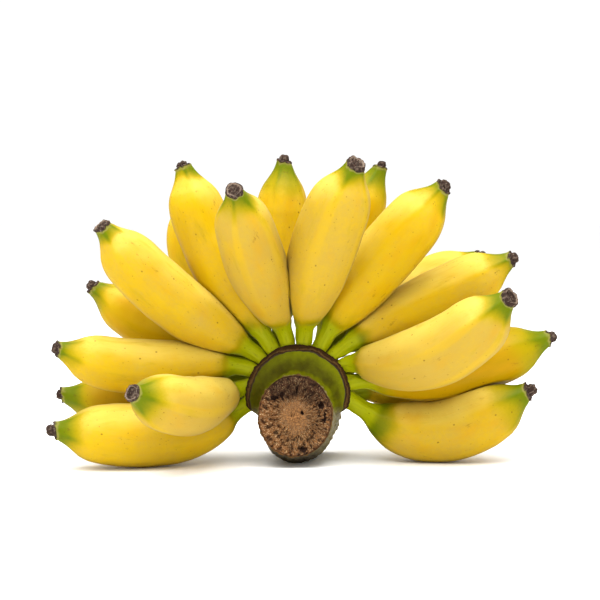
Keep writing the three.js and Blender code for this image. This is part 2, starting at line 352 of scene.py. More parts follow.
def ripples(points, size, seed, waves=28):
    """An uneven field between about -1 and 1 whose bumps are about as wide as size: the sum of plane waves
    in seeded directions, of seeded lengths and starts."""
    chance = np.random.default_rng(seed)
    directions = chance.normal(size=(waves, 3))
    directions /= norm(directions, axis=1, keepdims=True)
    numbers = directions * (chance.uniform(0.6, 1.5, (waves, 1)) * math.pi / size)
    starts = chance.uniform(0, math.tau, waves)
    flat = points.reshape(-1, 3)
    field = np.sin(flat @ numbers.T + starts).sum(axis=1) / math.sqrt(waves / 2)
    return field.reshape(points.shape[:-1])


def closed_mesh(name, grid, start, end, attributes, part_of_row=None):
    """A closed mesh from a grid of points, rows by columns. Each row joins up with itself, and the first
    and last rows close on the points start and end. Attributes are given on the same grid, or as one
    number, row or column that is spread over it, and their ends are the means of the end rows. part_of_row
    gives each row of faces, ends included, its material's number."""
    rows, columns = grid.shape[:2]
    points = np.concatenate([[start], grid.reshape(-1, 3), [end]])
    column = np.arange(columns)
    following = (column + 1) % columns
    row = 1 + columns * np.arange(rows - 1)[:, None]
    next_row = row + columns
    quads = np.stack([row + column, row + following, next_row + following, next_row + column], axis=-1)
    first = np.stack([np.zeros_like(column), 1 + following, 1 + column], axis=-1)
    top = 1 + columns * (rows - 1)
    last = np.stack([np.full_like(column, len(points) - 1), top + column, top + following], axis=-1)
    corners = np.concatenate([first.ravel(), quads.ravel(), last.ravel()])
    sizes = np.concatenate([np.full(columns, 3), np.full(quads.shape[0] * columns, 4), np.full(columns, 3)])
    mesh = bpy.data.meshes.new(name)
    mesh.vertices.add(len(points))
    mesh.vertices.foreach_set("co", points.astype(np.float32).ravel())
    mesh.loops.add(len(corners))
    mesh.loops.foreach_set("vertex_index", corners.astype(np.int32))
    mesh.polygons.add(len(sizes))
    mesh.polygons.foreach_set("loop_start", (np.cumsum(sizes) - sizes).astype(np.int32))
    if part_of_row is not None:
        mesh.polygons.foreach_set("material_index", np.repeat(part_of_row, columns).astype(np.int32))
    mesh.update(calc_edges=True)
    mesh.shade_smooth()
    for label, values in attributes.items():
        values = np.broadcast_to(values, (rows, columns) + np.shape(values)[2:])
        flat = values.reshape(rows * columns, -1)
        flat = np.concatenate([[values[0].mean(axis=0)], flat, [values[-1].mean(axis=0)]], axis=None)
        vector = values.ndim == 3
        kind, key = ("FLOAT_VECTOR", "vector") if vector else ("FLOAT", "value")
        layer = mesh.attributes.new(label, kind, "POINT")
        layer.data.foreach_set(key, flat.astype(np.float32))
    piece = bpy.data.objects.new(name, mesh)
    bpy.context.scene.collection.objects.link(piece)
    return piece


# A finger


def direction(degrees):
    """A direction across the hand, from degrees round the crown."""
    angle = math.radians(degrees)
    return np.array([math.cos(angle), 0, math.sin(angle)])


def root_of(finger):
    """Where a finger's centre line starts, just inside the crown's edge."""
    middle = np.array([CROWN_X, ROW_Y[finger.row], CROWN_Z])
    return middle + direction(finger.around) * (CROWN_RADIUS - ROOT_DEPTH)


class CentreLine:
    """A Bezier curve of the fourth degree. It leaves the crown in the finger's first direction, ends at the
    tip in the direction from the belly to the tip, and is at the belly half way along, where such a curve
    is at (root + 4 first + 6 middle + 4 last + tip) / 16."""

    def __init__(self, finger):
        root, belly, tip = root_of(finger), np.array(finger.belly), np.array(finger.tip)
        leaves = finger.around if finger.leaves is None else finger.leaves
        first = root + direction(leaves) * STALK_PULL
        last = tip - (tip - belly) * (TIP_PULL / norm(tip - belly))
        middle = (16 * belly - root - 4 * first - 4 * last - tip) / 6
        self.poles = np.array([root, first, middle, last, tip])
        self.share = np.linspace(0, 1, CURVE_POINTS)
        steps = norm(np.diff(self._point(self.share), axis=0), axis=1)
        self.run = np.concatenate([[0], np.cumsum(steps)])
        self.length = self.run[-1]

    def _blend(self, t, poles):
        """The mean of the poles, each weighted by the chance of its number in as many tosses of share t."""
        degree = len(poles) - 1
        weights = [math.comb(degree, k) * t**k * (1 - t) ** (degree - k) for k in range(degree + 1)]
        return np.stack(weights, axis=-1) @ poles

    def _point(self, t):
        """The points of the curve at shares t of its way."""
        return self._blend(t, self.poles)

    def _slope(self, t):
        """Which way the curve runs at shares t: a curve of one degree less on the steps between the poles."""
        return self._blend(t, np.diff(self.poles, axis=0))

    def at(self, distance):
        """The points and the unit directions at distances along the curve."""
        t = np.interp(distance, self.run, self.share)
        ahead = self._slope(t)
        return self._point(t), ahead / norm(ahead, axis=1, keepdims=True)


def outline_of(finger, length):
    """A finger's outline as distances along it and radii, from the root to the middle of its dried end."""
    half = finger.girth / 2
    collar = length - finger.knob
    dried = FLAT_SCAR if finger.knob < FLAT_BELOW else KNOB
    places = [s * finger.neck for s, _ in STALK_END] + [share * length for share, _ in BELLY]
    places += [collar - s for s, _ in TIP_END] + [collar + share * finger.knob for share, _ in dried]
    radii = [r for _, r in STALK_END] + [share * half for _, share in BELLY + TIP_END + dried]
    return np.array(places), np.array(radii)


def beads_of(finger):
    """Round bodies strung along a finger, which stand for it where its neighbours press on it."""
    line = CentreLine(finger)
    places, radii = outline_of(finger, line.length)
    rising = np.concatenate([[True], np.diff(np.maximum.accumulate(places)) > 0])
    distance = np.linspace(FIRST_BEAD, line.length - LAST_BEAD, BEADS)
    return line.at(distance)[0], smooth_through(places[rising], radii[rising], distance)


def press(points, centres, middles, radii, gap):
    """Fingers that crowd each other press flat: a point on one is drawn towards its centre until it is as
    deep inside its own round shape as it is inside the neighbour's, less half the gap."""
    inward = centres - points
    depth = np.maximum(norm(inward, axis=1), 1e-9)
    inward /= depth[:, None]
    drawn = np.zeros(len(points))
    for _ in range(PRESS_ROUNDS):
        at = points + inward * drawn[:, None]
        square = (at**2).sum(axis=1)[:, None] + (middles**2).sum(axis=1) - 2 * at @ middles.T
        inside = (radii - np.sqrt(np.maximum(square, 0))).max(axis=1)
        drawn = np.maximum(drawn + (inside - drawn + gap) / 2, 0)
    return points + inward * np.minimum(drawn, depth * MOST_PRESSED)[:, None]


def crest(phase, sharpness=2.2):
    """A rounded crest where the phase is a whole turn and a flat between: a cosine raised through a power
    of e, from -0.3 or so to 1, whose mean over a turn is zero."""
    wave = np.exp(sharpness * (np.cos(phase) - 1))
    mean = np.exp(-sharpness) * np.i0(sharpness)
    return (wave - mean) / (1 - mean)


def make_finger(finger, shape, number, beads):
    """One finger. A point lies at its distance s along the centre line, and from there at the outline's
    radius in the direction phi round it. The radius grows by crests at five ridges, by slow unevenness, and
    by wrinkles on the finger's stalk and on its dried end. Then neighbours press it flat, and the floor
    stops it."""
    line = CentreLine(finger)
    length = line.length
    places, radii = outline_of(finger, length)
    run = np.concatenate([[0], np.cumsum(np.hypot(np.diff(places), np.diff(radii)))])
    tip_run = np.interp(length - finger.knob - TIP_STARTS, places[: -len(KNOB)], run[: -len(KNOB)])
    belly_rows = np.linspace(0.0002, tip_run, BELLY_ROWS, endpoint=False)
    rows = np.concatenate([belly_rows, np.linspace(tip_run, run[-1], TIP_ROWS)])
    s = smooth_through(run, places, rows)[:, None]
    radius = smooth_through(run, radii, rows)[:, None]
    end = ease(rows, run[-len(KNOB)], run[-1])[:, None]
    phi = np.linspace(0, math.tau, shape.columns, endpoint=False)[None, :]
    chance = np.random.default_rng(100 + number)
    start = chance.uniform(0, math.tau, 12)
    straight = np.stack(np.broadcast_arrays(radius * np.cos(phi), radius * np.sin(phi), s), axis=-1)

    def uneven(size, kind, points=straight):
        """An uneven field whose seed is its kind's hundred and the finger's number."""
        return ripples(points, size, 100 * kind + number)

    on_stalk = 1 - ease(s, 0.010 * finger.neck, 0.024 * finger.neck)
    to_collar = length - finger.knob - s
    near_tip = 1 - ease(to_collar, 0.002, 0.026)
    dried = 1 - ease(to_collar, -0.0002, 0.0006)
    ridge = crest(5 * phi + 0.25 * np.sin(2 * phi + start[0]))
    waver = 1 + 0.35 * np.cos(phi + start[1]) + 0.25 * np.cos(2 * phi + start[2])
    height = shape.ridge_height * (0.55 + 0.9 * near_tip + 0.8 * on_stalk) * waver
    height = height * ease(s, 0.003, 0.012) * (1 - dried)
    swell = 0.012 * uneven(0.022, 2) + 0.004 * uneven(0.008, 3)
    furrow = 0.035 * on_stalk * uneven(0.0022, 4, straight * (1, 1, 0.15))
    lump = 0.04 * np.cos(3 * phi + start[3]) + 0.03 * np.cos(5 * phi + start[4])
    lump = lump + 0.03 * uneven(0.0018, 5)
    lump = lump + 0.012 * uneven(0.0007, 6)
    spikes = np.maximum(uneven(0.0024, 7), -0.2)
    collar = np.exp(-(((to_collar - 0.0002) / 0.0004) ** 2)) * 0.04 * spikes
    reach = radius * (1 + height * ridge + swell * (1 - dried) + furrow + dried * lump + collar)

    centre, ahead = line.at(np.clip(s[:, 0], 0, length))
    round_crown = direction(finger.around + 90)
    side = round_crown - ahead * (ahead @ round_crown)[:, None]
    side /= norm(side, axis=1, keepdims=True)
    front = np.cross(ahead, side)
    turned = phi + math.radians(finger.turn)
    across, up = reach * np.cos(turned), reach * np.sin(turned)
    grid = centre[:, None] + side[:, None] * across[..., None] + front[:, None] * up[..., None]
    slant = np.exp(-((np.minimum(to_collar, 0) / 0.002) ** 2)) * (1 - ease(to_collar, 0, 0.004))
    rough_end = dried * 0.0002 * uneven(0.0012, 8)
    tilt = 0.22 * slant * reach * np.cos(phi + start[5]) + rough_end
    grid = grid + ahead[:, None] * tilt[..., None]

    middles, sizes = beads
    spread = np.repeat(centre, phi.size, axis=0)
    own_middles, own_sizes = beads_of(finger)
    apart = norm(middles[:, None] - own_middles[None], axis=2) - sizes[:, None] - own_sizes[None]
    close = apart.min(axis=1) < NEAR
    pressed = press(grid.reshape(-1, 3), spread, middles[close], sizes[close], shape.finger_gap)
    grid = pressed.reshape(grid.shape)
    grid[..., 2] = (grid[..., 2] + np.sqrt(grid[..., 2] ** 2 + FLOOR_SOFTNESS**2)) / 2

    wander = 0.0022 * uneven(0.010, 9)
    from_root = (s + wander + 0.0012 * ridge) / (finger.green_root * finger.neck)
    from_collar = (to_collar + wander * 0.6 - 0.0015 * ridge) / finger.green_tip
    edge = 0.0003 * uneven(0.0016, 10)
    along_row = np.roll(grid, -1, axis=1) - np.roll(grid, 1, axis=1)
    facing = np.cross(along_row, np.gradient(grid, axis=0))
    facing_up = facing[..., 2] / np.maximum(norm(facing, axis=2), 1e-12)
    attributes = {
        "straight": straight,
        "ridge": np.maximum(ridge, 0),
        "green": np.maximum(1 - ease(from_root, 0.45, 1.55), 1 - ease(from_collar, -0.15, 1.7)),
        "finger_stalk": on_stalk,
        "dried": 1 - ease(to_collar + edge, 0.0003, 0.0009),
        "dried_end": end,
        "tip_rim": np.exp(-(((to_collar + edge - 0.0011) / 0.0006) ** 2)),
        "flat_scar": float(finger.knob < FLAT_BELOW),
        "own": chance.uniform(),
        # Bloom below nothing drives the painted shade of a finger that lies in its neighbours' shade.
        "bloom": finger.bloom,
        # How much a point faces up: it drives the painted top light.
        "upper": np.maximum(facing_up, 0),
    }
    cap = grid[-1].mean(axis=0)
    return closed_mesh(finger.node + "_skin", grid, centre[0], cap, attributes)


# The stalk and crown


def stalk_at(y):
    """The stalk's section at y: centre x, centre z, half width and half height, straight between the
    sections of its table."""
    return [np.interp(y, STALK[:, 0], STALK[:, column]) for column in (1, 2, 3, 4)]


def reach_of_crown(angle, y):
    """How far the stalk and crown reach from the stalk's centre line: the oval rod's reach, and what of the
    way from there to the crown's circle the crown has grown. Also gives that share."""
    x, z, half_width, half_height = stalk_at(y)
    c, s = np.cos(angle), np.sin(angle)
    rod = 1 / np.hypot(c / half_width, s / half_height)
    toward = c * (CROWN_X - x) + s * (CROWN_Z - z)
    sideways = s * (CROWN_X - x) - c * (CROWN_Z - z)
    edge = toward + np.sqrt(CROWN_RADIUS**2 - sideways**2)
    level = np.degrees(np.arcsin(s))
    grown = np.interp(y, SWELLING[:, 0], SWELLING[:, 1]) * ease(level, *ENDS_SINK)
    return rod + np.maximum(edge - rod, 0) * grown, grown, level


def make_crown(shape):
    """The stalk and crown, from the middle of the rear cut end over its side to the middle of the front cut
    end. A point at share u and angle a lies at u times the reach there. The scar is a groove between two
    lips, each finger's root stands on a low boss, and on the cut ends torn fibres run outwards from the
    middle."""
    angle = np.linspace(0, math.tau, CROWN_COLUMNS, endpoint=False)[None, :]
    cap = np.linspace(0.012, 1, FRONT_ROWS)
    rear_cap = np.linspace(0.02, 1, REAR_ROWS)
    rim_depth = CUT_OUTLINE[-1][1]
    side_y = np.concatenate([
        np.linspace(BACK - rim_depth, SCAR_ROWS[0], SIDE_ROWS[0], endpoint=False),
        np.linspace(*SCAR_ROWS, SIDE_ROWS[1], endpoint=False),
        np.linspace(SCAR_ROWS[1], FRONT + rim_depth, SIDE_ROWS[2]),
    ])[1:-1]
    share = np.concatenate([rear_cap, np.ones(len(side_y)), cap[::-1]])[:, None]
    front_y = FRONT + smooth_through(*zip(*CUT_OUTLINE), cap[::-1])
    rear_y = BACK - smooth_through(*zip(*CUT_OUTLINE), rear_cap)
    y = np.concatenate([rear_y, side_y, front_y])[:, None]
    rows = (len(rear_cap), len(side_y), len(cap))
    on_rear, on_front = [np.repeat(part, rows)[:, None] for part in ((1.0, 0, 0), (0, 0, 1.0))]

    smooth_y = np.repeat(y, angle.size, axis=1)
    reach, grown, level = reach_of_crown(angle, smooth_y)
    x, z = stalk_at(smooth_y)[:2]
    on_circle = np.stack([x + reach * np.cos(angle), smooth_y, z + reach * np.sin(angle)], axis=-1)

    # Each uneven field has a seed of its own, from 11 on.
    wobble = 0.00016 * ripples(on_circle, 0.006, 11)
    ends = ease(level, 0, 9)
    from_middle = np.hypot(on_circle[..., 0] - CROWN_X, on_circle[..., 2] - CROWN_Z)
    scar = ease(from_middle + wobble, SCAR_RADIUS - SCAR_EDGE, SCAR_RADIUS + SCAR_EDGE) * ends
    scar = scar * (1 - ease(smooth_y + wobble, SCAR_BACK - SCAR_EDGE, SCAR_BACK + SCAR_EDGE))
    groove = np.exp(-(((from_middle + 2 * wobble - SCAR_RADIUS - GROOVE_OUT) / GROOVE_WIDTH) ** 2))
    groove = groove * (smooth_y < GROOVE_BACK)
    side_relief = 0.00022 * ripples(on_circle * (1, 0.12, 1), 0.0016, 12) * (1 - grown * 0.7)
    side_relief = side_relief + 0.00018 * ripples(on_circle, 0.009, 13)
    scar_relief = scar * (0.00010 * ripples(on_circle, 0.0015, 14) + 0.00010 * ripples(on_circle, 0.0006, 15))
    side_relief = side_relief + scar_relief - GROOVE_DEPTH * groove * scar
    for finger in FINGERS:
        away = norm(on_circle - root_of(finger) - direction(finger.around) * ROOT_DEPTH, axis=-1)
        side_relief = side_relief + BOSS_HEIGHT * np.exp(-((away / BOSS_RADIUS) ** 2)) * grown
    rim = 0.00008 * ripples(on_circle, 0.003, 16)
    side_relief = side_relief + rim * ease(np.abs(smooth_y), 0.020, 0.027)
    reach = reach + np.where(share < 1, rim * ease(share, 0.5, 1), side_relief)
    x_at = x + share * reach * np.cos(angle)
    z_at = z + share * reach * np.sin(angle)

    spoke = np.stack(np.broadcast_arrays(np.cos(angle), np.sin(angle), share * 0.9), axis=-1)
    band = ease(share, 0.25, 0.6) * (1 - 0.6 * ease(share, 0.94, 1))
    torn = band * ripples(spoke, 0.085, 17, 60) + 0.7 * band * ripples(spoke, 0.035, 18, 60)
    flat = np.stack([x_at, 0 * x_at, z_at], axis=-1)
    torn = torn + 0.35 * ripples(flat, 0.0016, 19, 48) + 0.25 * ripples(flat, 0.0007, 20, 48)
    pit = np.zeros_like(x_at)
    for pit_x, pit_z, half_wide, half_high, depth in PITS:
        away = np.hypot((x_at - pit_x) / half_wide, (z_at - pit_z) / half_high) * 1.2
        pit = pit + depth * (1 - ease(away + 0.25 * ripples(flat, 0.0012, 21), 0.45, 1.25))
    y_at = smooth_y + on_front * (shape.fibre_depth * torn + pit) - on_rear * shape.fibre_depth * torn
    y_at = np.where(on_front > 0, np.maximum(y_at, FRONT - LONGEST_FIBRE), y_at)
    z_at = np.maximum(z_at, 0)
    grid = np.stack([x_at, y_at, z_at], axis=-1)

    attributes = {
        "scar": scar,
        "groove": groove * scar,
        "grown": grown,
        "level": level / 90,
        "cut_share": share,
        "spoke": spoke,
        "torn": torn,
        "pit": np.clip(pit / 0.0012, 0, 1),
    }
    faces = np.repeat((1, 0, 1), (rows[0] + 1, *rows[1:]))
    start = grid[0].mean(axis=0)
    end = grid[-1].mean(axis=0)
    return closed_mesh("stalk_and_crown_skin", grid, start, end, attributes, faces)


# Materials


def maths(operation, swapped=False):
    """A method that adds a Math node of the value and another, or of the other and the value if swapped."""

    def add_node(value, other):
        numbers = (other, value) if swapped else (value, other)
        return value.surface.node("Math", {"operation": operation}, dict(enumerate(numbers)))

    return add_node


class Value:
    """A number that varies over a surface. Python's operators on it add Math nodes."""

    def __init__(self, surface, socket):
        self.surface, self.socket = surface, socket

    __add__, __radd__ = maths("ADD"), maths("ADD", swapped=True)
    __sub__, __rsub__ = maths("SUBTRACT"), maths("SUBTRACT", swapped=True)
    __mul__, __pow__, at_least = maths("MULTIPLY"), maths("POWER"), maths("MAXIMUM")

    def ease(self, low, high):
        """0 at low and 1 at high, with a smooth step between."""
        values = {"Value": self, "From Min": low, "From Max": high}
        return self.surface.node("MapRange", {"interpolation_type": "SMOOTHSTEP"}, values)


class Surface:
    """A material, built node by node."""

    def __init__(self, name):
        self.material = bpy.data.materials.new(name)
        self.material.use_nodes = True
        self.tree = self.material.node_tree
        self.tree.nodes.clear()
        self.colour = None

    def node(self, kind, settings=None, inputs=None, output=0):
        """Adds a node of a type, with its settings first and then the values or links of its sockets."""
        node = self.tree.nodes.new("ShaderNode" + kind)
        for name, setting in (settings or {}).items():
            setattr(node, name, setting)
        for name, value in (inputs or {}).items():
            if isinstance(value, Value):
                self.tree.links.new(value.socket, node.inputs[name])
            else:
                node.inputs[name].default_value = value
        return Value(self, node.outputs[output])

    def attribute(self, name):
        """A number read from an attribute of the mesh."""
        return self.node("Attribute", {"attribute_name": name}, output="Fac")

    def place(self, name):
        """A place read from an attribute of the mesh."""
        return self.node("Attribute", {"attribute_name": name}, output="Vector")

    def stretched(self, place, by):
        """A place whose parts are multiplied, so that a pattern there is stretched the other way."""
        return self.node("VectorMath", {"operation": "MULTIPLY"}, {0: place, 1: by})

    def noise(self, place, size, detail=2.0, roughness=0.5):
        """A cloudy pattern from 0 to 1 whose patches are about as wide as size."""
        values = {"Vector": place, "Scale": 1 / size, "Detail": detail, "Roughness": roughness}
        return self.node("TexNoise", {}, values)

    def part(self, place, number):
        """The x, y or z of a place, by its number from 0."""
        return self.node("SeparateXYZ", {}, {0: place}, number)

    def cells(self, place, size, output="Distance"):
        """Scattered points, about size apart: the distance to the nearest, in cells, or its random colour."""
        return self.node("TexVoronoi", {}, {"Vector": place, "Scale": 1 / size}, output)

    def mix(self, factor, first, second):
        """The first colour turned into the second by a factor."""
        first, second = [c if isinstance(c, Value) else (*c, 1) for c in (first, second)]
        return self.node("Mix", {"data_type": "RGBA"}, {0: factor, 6: first, 7: second}, 2)

    def paint(self, factor, over):
        """Turns the surface's colour into another by a factor."""
        self.colour = self.mix(factor, self.colour, over)

    def finish(self, roughness, height, others):
        """The shader, from the surface's colour, its roughness, the height of its bumps in metres, and the
        values of its other sockets."""
        bump = self.node("Bump", {}, {"Height": height, "Distance": 1.0, "Strength": 1.0})
        values = {"Base Color": self.colour, "Roughness": roughness, "Normal": bump, **others}
        shader = self.node("BsdfPrincipled", {}, values)
        output = self.tree.nodes.new("ShaderNodeOutputMaterial")
        self.tree.links.new(shader.socket, output.inputs["Surface"])
        return self.material


def skin_material(colours):
    """Ripe skin: yellow with a dull bloom on its flat faces, painted shade on fingers that lie in their
    neighbours' shade, a painted highlight on the upper side for the light from above, clearer ridges, faint
    fibres along it, green at both ends, a thin pale rim at the tip, a painted dull sheen where the skin is
    seen side-on, a few freckles and scuffs, and the dark end of the dried flower with its worn rim."""
    skin = Surface(SKIN_NAME)
    straight = skin.place("straight")
    own, ridge, dried, end = map(skin.attribute, ("own", "ridge", "dried", "dried_end"))
    green, stalk, flat_scar = map(skin.attribute, ("green", "finger_stalk", "flat_scar"))
    place = skin.node("TexCoord", output="Object")

    patches = skin.noise(place, 0.018, 3)
    fibres = skin.noise(skin.stretched(straight, (1, 1, 0.04)), 0.0009, 3, 0.6)
    grain = skin.noise(place, 0.0016, 3, 0.6)
    toward_tip = skin.part(straight, 2).ease(0.045, 0.10)
    faces = 1 - (ridge * 1.6).ease(0.1, 1.1) * (0.2 + toward_tip * 0.25)
    bloom = skin.attribute("bloom")
    waxy = (bloom * 0.8 + (patches - 0.5) * 0.8 + (grain - 0.5) * 0.55).ease(0.0, 0.9)
    # Painted shade: fingers with less than no bloom turn towards a deeper colour, for the shade that their
    # neighbours cast on them.
    painted_shade = (1 - (bloom + 0.5).ease(0.0, 0.6)) * 0.8
    skin.colour = skin.mix(waxy * faces, skin.mix(painted_shade, colours.ripe, colours.painted_shade), colours.pale)
    # Painted top light: the skin turns paler where it faces up, for the light falling from above.
    painted_top_light = (skin.attribute("upper") + (patches - 0.5) * 0.5).ease(0.0, 0.8) * (1 - painted_shade)
    skin.paint(painted_top_light * 0.7, colours.painted_top_light)
    deep = skin.noise(skin.stretched(straight, (1, 1, 0.45)), 0.011, 2)
    skin.paint((deep - own * 0.15).ease(0.42, 0.8) * 0.55, colours.deep)
    skin.paint((fibres - 0.5).ease(0.0, 0.3) * 0.25, colours.deep)
    smudges = skin.noise(skin.stretched(straight, (1, 1, 0.22)), 0.005, 3, 0.6)
    smudges = (smudges - 0.06 + own * 0.05 + ridge * 0.07).ease(0.56, 0.72)
    skin.paint(smudges * 0.28, colours.lime)

    edge = green + (grain - 0.5) * 0.10 + (fibres - 0.5) * 0.12 + ridge * green * 0.08
    skin.paint(edge.ease(0.02, 0.45) * 0.9, colours.lime)
    green_tone = skin.mix(stalk.ease(0.1, 0.6), colours.tip_green, colours.green)
    green_tone = skin.mix((fibres - 0.45).ease(0.0, 0.3) * 0.22, green_tone, colours.dark_green)
    skin.paint(edge.ease(0.25, 0.95), green_tone)
    skin.paint(skin.attribute("tip_rim") * 0.75, colours.tip_rim)
    # Painted sheen: the colour turns to a dull khaki where the skin is seen side-on.
    sheen = skin.node("LayerWeight", {}, {"Blend": 0.5}, "Facing").ease(0.55, 1.0)
    skin.paint(sheen * 0.4, colours.sheen)

    spotted = skin.stretched(straight, (1, 1, 0.75))
    chosen = skin.node("SeparateColor", {}, {0: skin.cells(spotted, 0.0042, "Color")})
    freckles = (1 - skin.cells(spotted, 0.0042).ease(0.05, 0.15)) * chosen.ease(0.66, 0.72)
    tiny_chosen = skin.node("SeparateColor", {}, {0: skin.cells(straight, 0.0021, "Color")}, 1)
    tiny_spots = (1 - skin.cells(straight, 0.0021).ease(0.08, 0.2)) * tiny_chosen.ease(0.78, 0.84) * 0.7
    scuffs = skin.noise(skin.stretched(straight, (1, 1, 0.35)), 0.0030, 4, 0.7)
    scuffs = scuffs.ease(0.62, 0.72) * skin.noise(place, 0.020, 1).ease(0.46, 0.60)
    marks = freckles.at_least(tiny_spots).at_least(scuffs * 0.6)
    skin.paint(marks * 0.72, colours.freckle)

    crust = skin.noise(skin.stretched(straight, (1, 1, 0.7)), 0.0012, 3, 0.6)
    crust_colour = skin.mix(crust.ease(0.45, 0.75) * 0.6, colours.dried, colours.dried_pale)
    worn = end.ease(0.10, 0.2) * (1 - end.ease(0.28, 0.4)) * flat_scar
    crust_colour = skin.mix(worn * (0.5 + crust * 0.5), crust_colour, colours.dried_pale)
    skin.paint(dried, crust_colour)

    roughness = 0.42 + patches * 0.08 + (fibres - 0.5) * 0.08 + marks * 0.2 - ridge * 0.06
    roughness = roughness * (1 - dried) + dried * 0.75
    smooth_height = fibres * 0.00005 + grain * 0.00004 + skin.noise(straight, 0.0045, 2) * 0.0002
    height = smooth_height * (1 - dried) + crust * 0.00035 * dried
    shine = {"Specular IOR Level": 0.0, "Coat Weight": (1 - dried) * 0.12, "Coat Roughness": 0.38}
    depth = {"Subsurface Weight": 0.05, "Subsurface Scale": 0.002}
    return skin.finish(roughness, height, {**shine, **depth})


def crown_material(colours):
    """The crown's green skin, mottled, and darker in its hollow and towards the left, partly its own dark
    green and partly painted shade; the brown and flecked scar; and the stalk's weathered side with its
    lengthwise fibres, painted darker towards its underside as painted shade."""
    skin = Surface("Stalk skin")
    place = skin.node("TexCoord", output="Object")
    scar, groove, grown, level = map(skin.attribute, ("scar", "groove", "grown", "level"))
    mottle = skin.noise(place, 0.007, 3, 0.6)
    grain = skin.noise(place, 0.0012, 4, 0.65)
    fibres = skin.noise(skin.stretched(place, (1, 0.08, 1)), 0.0011, 3, 0.6)

    green = skin.mix(mottle.ease(0.35, 0.7) * 0.4, colours.crown, colours.crown_dark_and_shade)
    behind = skin.part(place, 1).ease(-0.006, -0.004)
    green = skin.mix(behind, green, colours.green)
    # The hollow and the left of the crown are painted darker: partly the crown's own dark green, partly
    # painted shade.
    hollow = (1 - grown.ease(0.35, 0.85)) * grown.ease(0.05, 0.2)
    green = skin.mix(hollow * (0.3 + mottle * 0.9), green, colours.crown_dark_and_shade)
    left = 1 - skin.part(place, 0).ease(-0.026, -0.004)
    green = skin.mix(left * (0.45 + mottle * 0.5), green, colours.crown_dark_and_shade)
    weathered = skin.mix(fibres.ease(0.35, 0.7) * 0.5, colours.stalk, colours.crown_dark_and_shade)
    low = 1 - (level + (mottle - 0.5) * 0.1).ease(0.0, 0.2)
    on_stalk = low.at_least(1 - (grown + mottle * 0.02).ease(0.01, 0.03))
    # Painted shade: the stalk's side turns to dark brown towards its underside.
    weathered = skin.mix(1 - level.ease(-0.85, -0.1), weathered, colours.dried)
    green = skin.mix(on_stalk * 0.9, green, weathered)

    crust = skin.noise(place, 0.0009, 4, 0.7)
    brown = skin.mix(crust.ease(0.45, 0.75) * 0.5, colours.scar, colours.dried)
    brown = skin.mix((groove * (0.4 + crust)).ease(0.3, 0.9) * 0.8, brown, colours.scar_pale)
    line = scar.ease(0.02, 0.3) * (1 - scar.ease(0.75, 0.99))
    skin.colour = skin.mix(scar.ease(0.1, 0.6), green, brown)
    skin.paint(line * 0.8, colours.dried)
    specks = skin.cells(place, 0.0026).ease(0.10, 0.2)
    skin.paint((1 - specks) * mottle.ease(0.5, 0.62) * 0.5 * (1 - scar), colours.freckle)

    roughness = 0.55 + grain * 0.14 + scar * 0.2
    height = fibres * 0.00014 * (1 - grown * 0.8) + grain * 0.0001 + crust * scar * 0.0004
    return skin.finish(roughness, height, {"Specular IOR Level": 0.06})


def cut_material(colours):
    """A cut end, dried: tan in the middle, dark purple-brown above, with reddish and pale fibre bundles
    that run outwards, and painted shade in its pits and in the grooves between its torn fibres."""
    cut = Surface("Cut stalk")
    place = cut.node("TexCoord", output="Object")
    share, torn, pit = map(cut.attribute, ("cut_share", "torn", "pit"))
    spoke = cut.place("spoke")
    bundles = cut.noise(cut.stretched(spoke, (1, 1, 0.35)), 0.05, 4, 0.65)
    hairs = cut.noise(cut.stretched(spoke, (1, 1, 0.25)), 0.016, 3, 0.6)
    cloud = cut.noise(place, 0.006, 4, 0.6)
    grain = cut.noise(place, 0.0008, 4, 0.7)

    sideways = cut.part(spoke, 0) * share
    upward = cut.part(spoke, 1) * share
    from_heart = ((sideways - 0.1) ** 2 + (upward + 0.2) ** 2) ** 0.5
    outward = (from_heart + (cloud - 0.5) * 0.8).ease(0.25, 1.0)
    cut.colour = cut.mix(outward * 0.7, colours.cut, colours.cut_red)
    left = (0 - sideways - upward * 0.3).ease(0.2, 0.75)
    above = (upward + (cloud - 0.5) * 0.5).ease(0.2, 0.6) * (1 - left * 0.5)
    cut.paint(above * 0.8, colours.cut_dark)
    cut.paint((grain + cloud * 0.3).ease(0.50, 0.74) * (0.7 - left * 0.55), colours.cut_dark)
    bundled = bundles.ease(0.48, 0.68) * share.ease(0.1, 0.5) * (0.8 - left * 0.6)
    cut.paint(bundled, colours.cut_dark)
    inside = share.ease(0.05, 0.45) * (1 - share.ease(0.93, 0.97))
    loose = (hairs * 0.6 + grain * 0.5).ease(0.56, 0.68) * inside * (1 - above * 0.5)
    cut.paint(loose * (0.7 + left * 0.3), colours.cut_pale)
    # Painted shade: the grooves between torn fibres, deeper where torn is higher, and the pits are painted
    # dark.
    cut.paint(torn.ease(0.3, 1.6) * 0.7, colours.cut_dark)
    cut.paint(pit.ease(0.15, 0.7), colours.cut_dark)
    line = share.ease(0.94, 0.96) * (1 - share.ease(0.975, 0.985))
    cut.paint(line * 0.6, colours.cut_dark)
    cut.paint(share.ease(0.975, 0.985) * 0.7, colours.scar_pale)
    roughness = 0.72 + grain * 0.2
    height = (bundles * -0.0009 + hairs * 0.0004) * share.ease(0.2, 0.6) + grain * 0.0004
    return cut.finish(roughness, height, {"Specular IOR Level": 0.1})


def floor_material(colours):
    """Plain white paper."""
    floor = Surface("White floor")
    grain = floor.noise(floor.node("TexCoord", output="Object"), 0.002, 2)
    floor.colour = (*colours.floor, 1)
    return floor.finish(0.85, grain * 0.00001, {"Specular IOR Level": 0.2})


# Operators


def dress(piece, node, slot, *materials):
    """Gives a piece its materials and puts it in the place of its node."""
    for material in materials:
        piece.data.materials.append(material)
    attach(piece, "root")
    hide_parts(node)


